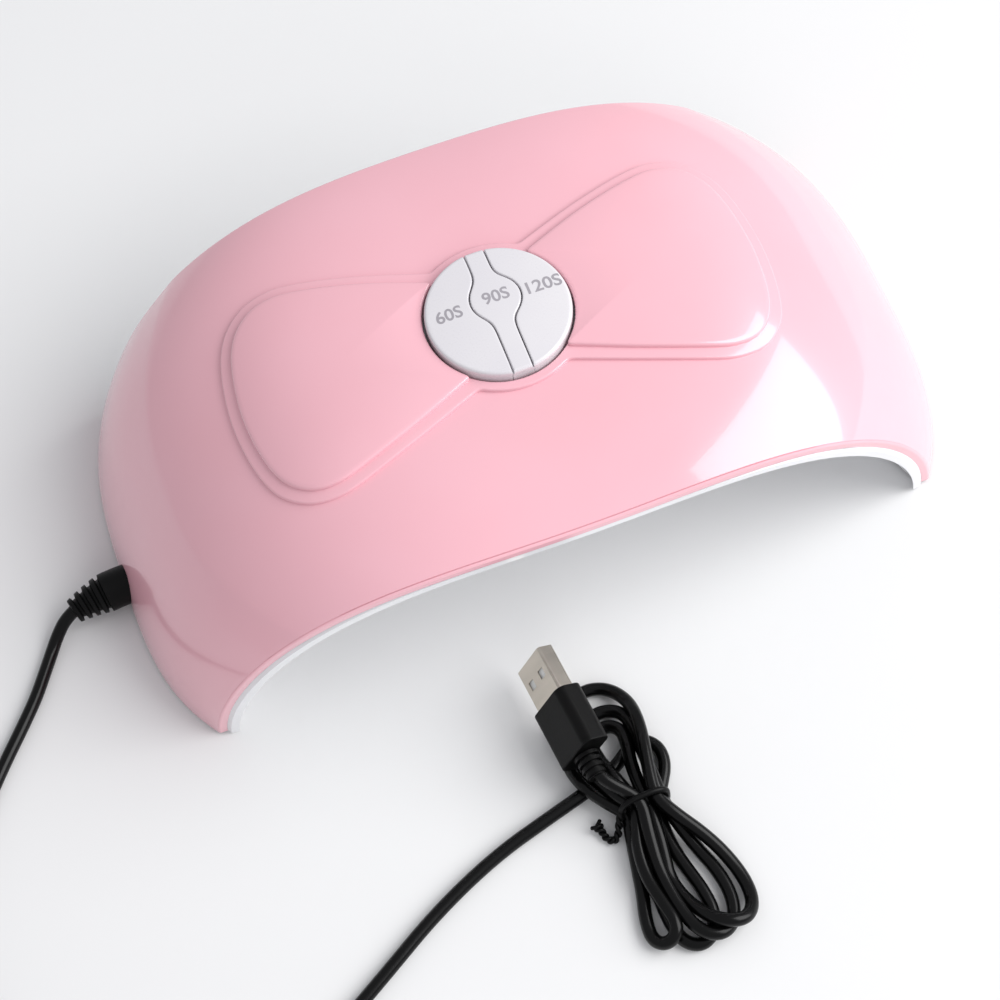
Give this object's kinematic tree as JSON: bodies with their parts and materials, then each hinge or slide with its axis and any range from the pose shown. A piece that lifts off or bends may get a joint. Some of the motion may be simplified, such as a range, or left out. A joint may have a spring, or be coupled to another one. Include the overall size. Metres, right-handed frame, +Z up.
{
  "type": "uv led nail lamp",
  "caption": "Low arch-shaped nail lamp with a raised bow on its crown, timer keys in a round button, an open hand tunnel and a fixed USB lead tied in a hank.",
  "frame": {"origin": "centre of the footprint, on the surface the lamp stands on", "axes": "+X along the arch, +Y towards the back, +Z up; the front rim faces -Y"},
  "size_m": [0.2785, 0.201, 0.0676],
  "materials": {
    "pink_shell": "glossy moulded plastic",
    "white_shell": "glossy moulded plastic",
    "pearl_key": "satin pearl coating",
    "frame_plastic": "moulded",
    "board": "solder-masked glass-fibre board",
    "led_board": "white-coated aluminium-core board",
    "led": "moulded LED package",
    "lens": "clear moulded lens",
    "steel": "zinc-plated",
    "nickel": "nickel-plated sheet",
    "gold": "gold-flashed contacts",
    "rubber": "soft rubber",
    "black_plastic": "moulded",
    "cord_black": "smooth satin jacket",
    "chip": "moulded package",
    "can": "sleeved can",
    "tongue": "moulded insulator",
    "wire": "insulated wire"
  },
  "bodies": {
    "casing": {"outer_shell": "pink_shell", "inner_shell": "white_shell", "key_frame": "frame_plastic", "key_frame_screws": "steel", "control_board": "board", "control_board_screws": "steel", "switch_bodies": "chip", "switch_domes": "steel", "controller_chip": "chip", "driver_transistors": "chip", "capacitors": "can", "resistors": "chip", "power_inductor": "chip", "lead_sockets": "frame_plastic", "board_link_header": "black_plastic", "led_board_crown": "led_board", "led_board_left": "led_board", "led_board_right": "led_board", "led_board_screws": "steel", "leds_crown": "led", "leds_left": "led", "leds_right": "led", "led_lenses_crown": "lens", "led_lenses_left": "lens", "led_lenses_right": "lens", "led_leads_left": "wire", "led_leads_right": "wire", "power_leads": "wire", "case_screws": "steel", "rubber_feet": "rubber", "strain_relief": "black_plastic", "cord_inner_end": "cord_black", "cord_clamp": "frame_plastic", "cord_clamp_screws": "steel", "usb_cord": "cord_black", "cord_hank": "cord_black", "twist_tie": "black_plastic", "plug_overmould": "black_plastic", "plug_shell": "nickel", "plug_tongue": "tongue", "plug_contacts": "gold"},
    "key_60s": {"key_60s": "pearl_key"},
    "plunger_60s": {"switch_plunger_60s": "black_plastic"},
    "key_90s": {"key_90s": "pearl_key"},
    "plunger_90s": {"switch_plunger_90s": "black_plastic"},
    "key_120s": {"key_120s": "pearl_key"},
    "plunger_120s": {"switch_plunger_120s": "black_plastic"}
  },
  "joints": [
    {"name": "press_60s", "type": "slide", "parent": "casing", "child": "key_60s", "axis": [0, 0, -1], "range_m": [0, 0.0005], "stiffness_N_per_m": 2000, "springref_m": -0.0002},
    {"name": "switch_60s", "type": "slide", "parent": "casing", "child": "plunger_60s", "axis": [0, 0, -1], "range_m": [0, 0.00025]},
    {"name": "press_90s", "type": "slide", "parent": "casing", "child": "key_90s", "axis": [0, 0, -1], "range_m": [0, 0.0005], "stiffness_N_per_m": 2000, "springref_m": -0.0002},
    {"name": "switch_90s", "type": "slide", "parent": "casing", "child": "plunger_90s", "axis": [0, 0, -1], "range_m": [0, 0.00025]},
    {"name": "press_120s", "type": "slide", "parent": "casing", "child": "key_120s", "axis": [0, 0, -1], "range_m": [0, 0.0005], "stiffness_N_per_m": 2000, "springref_m": -0.0002},
    {"name": "switch_120s", "type": "slide", "parent": "casing", "child": "plunger_120s", "axis": [0, 0, -1], "range_m": [0, 0.00025]}
  ],
  "couplings": [
    {"joint": "switch_60s", "follows": "press_60s", "ratio": 0.5},
    {"joint": "switch_90s", "follows": "press_90s", "ratio": 0.5},
    {"joint": "switch_120s", "follows": "press_120s", "ratio": 0.5}
  ]
}
